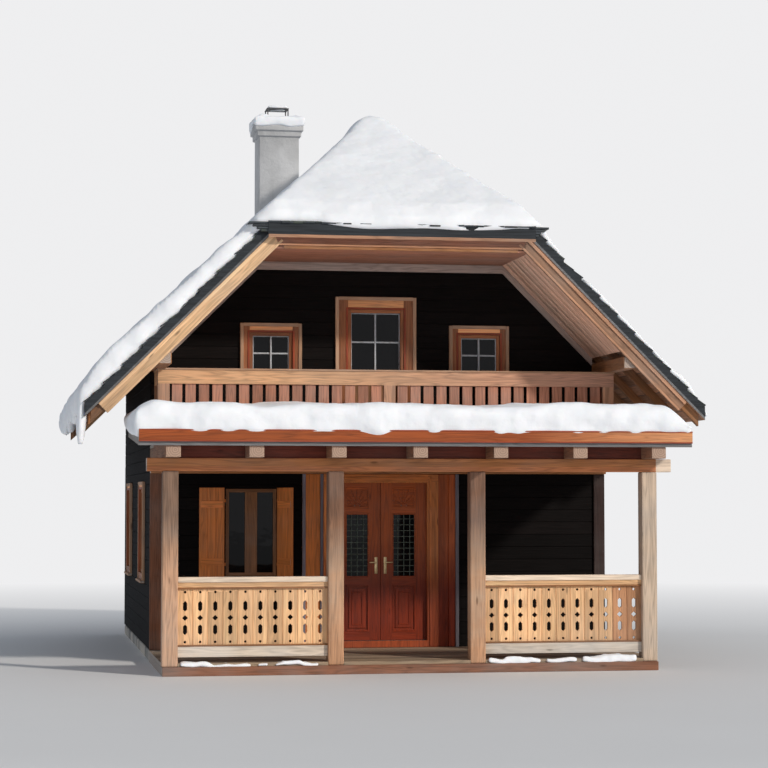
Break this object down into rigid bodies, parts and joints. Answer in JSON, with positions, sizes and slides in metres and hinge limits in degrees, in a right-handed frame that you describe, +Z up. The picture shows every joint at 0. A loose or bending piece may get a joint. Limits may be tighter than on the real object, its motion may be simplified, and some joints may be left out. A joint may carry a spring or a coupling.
{
  "type": "alpine chalet",
  "caption": "Hollow timber mountain house with a half-hipped shingle roof under snow, a front porch, a balcony, hinged double doors and hinged window shutters.",
  "frame": {"origin": "on the ground, on the underside of the porch sill, in the plane of the posts' front faces, on the gable's axis", "axes": "+Y from the porch into the house, +X to the right as one faces the porch, +Z up"},
  "size_m": [8.06, 9.9899, 7.79],
  "materials": {
    "stone": "rough stone",
    "floor_boards": "planed boards",
    "dark_timber": "sun-blackened timber",
    "brown_boards": "stained boards",
    "orange_boards": "oiled larch",
    "red_timber": "dark red-brown glaze",
    "grey_timber": "weathered timber",
    "pale_timber": "pale larch",
    "shingles": "grey split shingles",
    "plaster": "rough plaster",
    "sheet_metal": "dull sheet",
    "iron": "black iron",
    "window_glass": "clear glass",
    "snow": "settled snow"
  },
  "bodies": {
    "house": {"plinth": "stone", "ground_floor": "floor_boards", "upper_floor": "floor_boards", "corner_boards": "brown_boards", "front_wall_left": "dark_timber", "front_wall_right": "dark_timber", "front_wall_over_door": "dark_timber", "left_wall": "dark_timber", "right_wall": "dark_timber", "back_wall": "dark_timber", "gable_front": "dark_timber", "gable_back": "dark_timber", "porch_sills": "grey_timber", "porch_floor": "floor_boards", "porch_posts": "grey_timber", "porch_beams": "brown_boards", "porch_joists": "grey_timber", "porch_railing": "pale_timber", "porch_roof": "shingles", "porch_fascia": "orange_boards", "balcony_floor": "floor_boards", "balcony_railing": "orange_boards", "purlins": "brown_boards", "rafters": "brown_boards", "roof_boards": "brown_boards", "shingles_left": "shingles", "shingles_right": "shingles", "hip_shingles": "shingles", "verge_boards": "pale_timber", "chimney": "plaster", "chimney_cowl": "sheet_metal", "door_frame": "red_timber", "balcony_door": "orange_boards", "window_frames": "orange_boards", "window_glass": "window_glass", "hinge_pins": "iron", "snow_left": "snow", "snow_right": "snow", "snow_hips": "snow", "snow_porch": "snow", "verge_soffits": "brown_boards", "gable_trims": "grey_timber"},
    "door_left": {"door_leaf_left": "red_timber", "door_glass_left": "window_glass"},
    "door_right": {"door_leaf_right": "red_timber", "door_glass_right": "window_glass"},
    "shutter_left": {"shutter_left": "orange_boards"},
    "shutter_right": {"shutter_right": "orange_boards"}
  },
  "joints": [
    {"name": "door_left_hinge", "type": "hinge", "parent": "house", "child": "door_left", "pos_m": [-0.624, 2.532, 1.2], "axis": [0, 0, 1], "range_deg": [0, 90]},
    {"name": "door_right_hinge", "type": "hinge", "parent": "house", "child": "door_right", "pos_m": [0.624, 2.532, 1.2], "axis": [0, 0, -1], "range_deg": [0, 90]},
    {"name": "shutter_left_hinge", "type": "hinge", "parent": "house", "child": "shutter_left", "pos_m": [-2.068, 2.42, 1.6], "axis": [0, 0, 1], "range_deg": [0, 180]},
    {"name": "shutter_right_hinge", "type": "hinge", "parent": "house", "child": "shutter_right", "pos_m": [-1.382, 2.42, 1.6], "axis": [0, 0, -1], "range_deg": [-60, 118]}
  ]
}
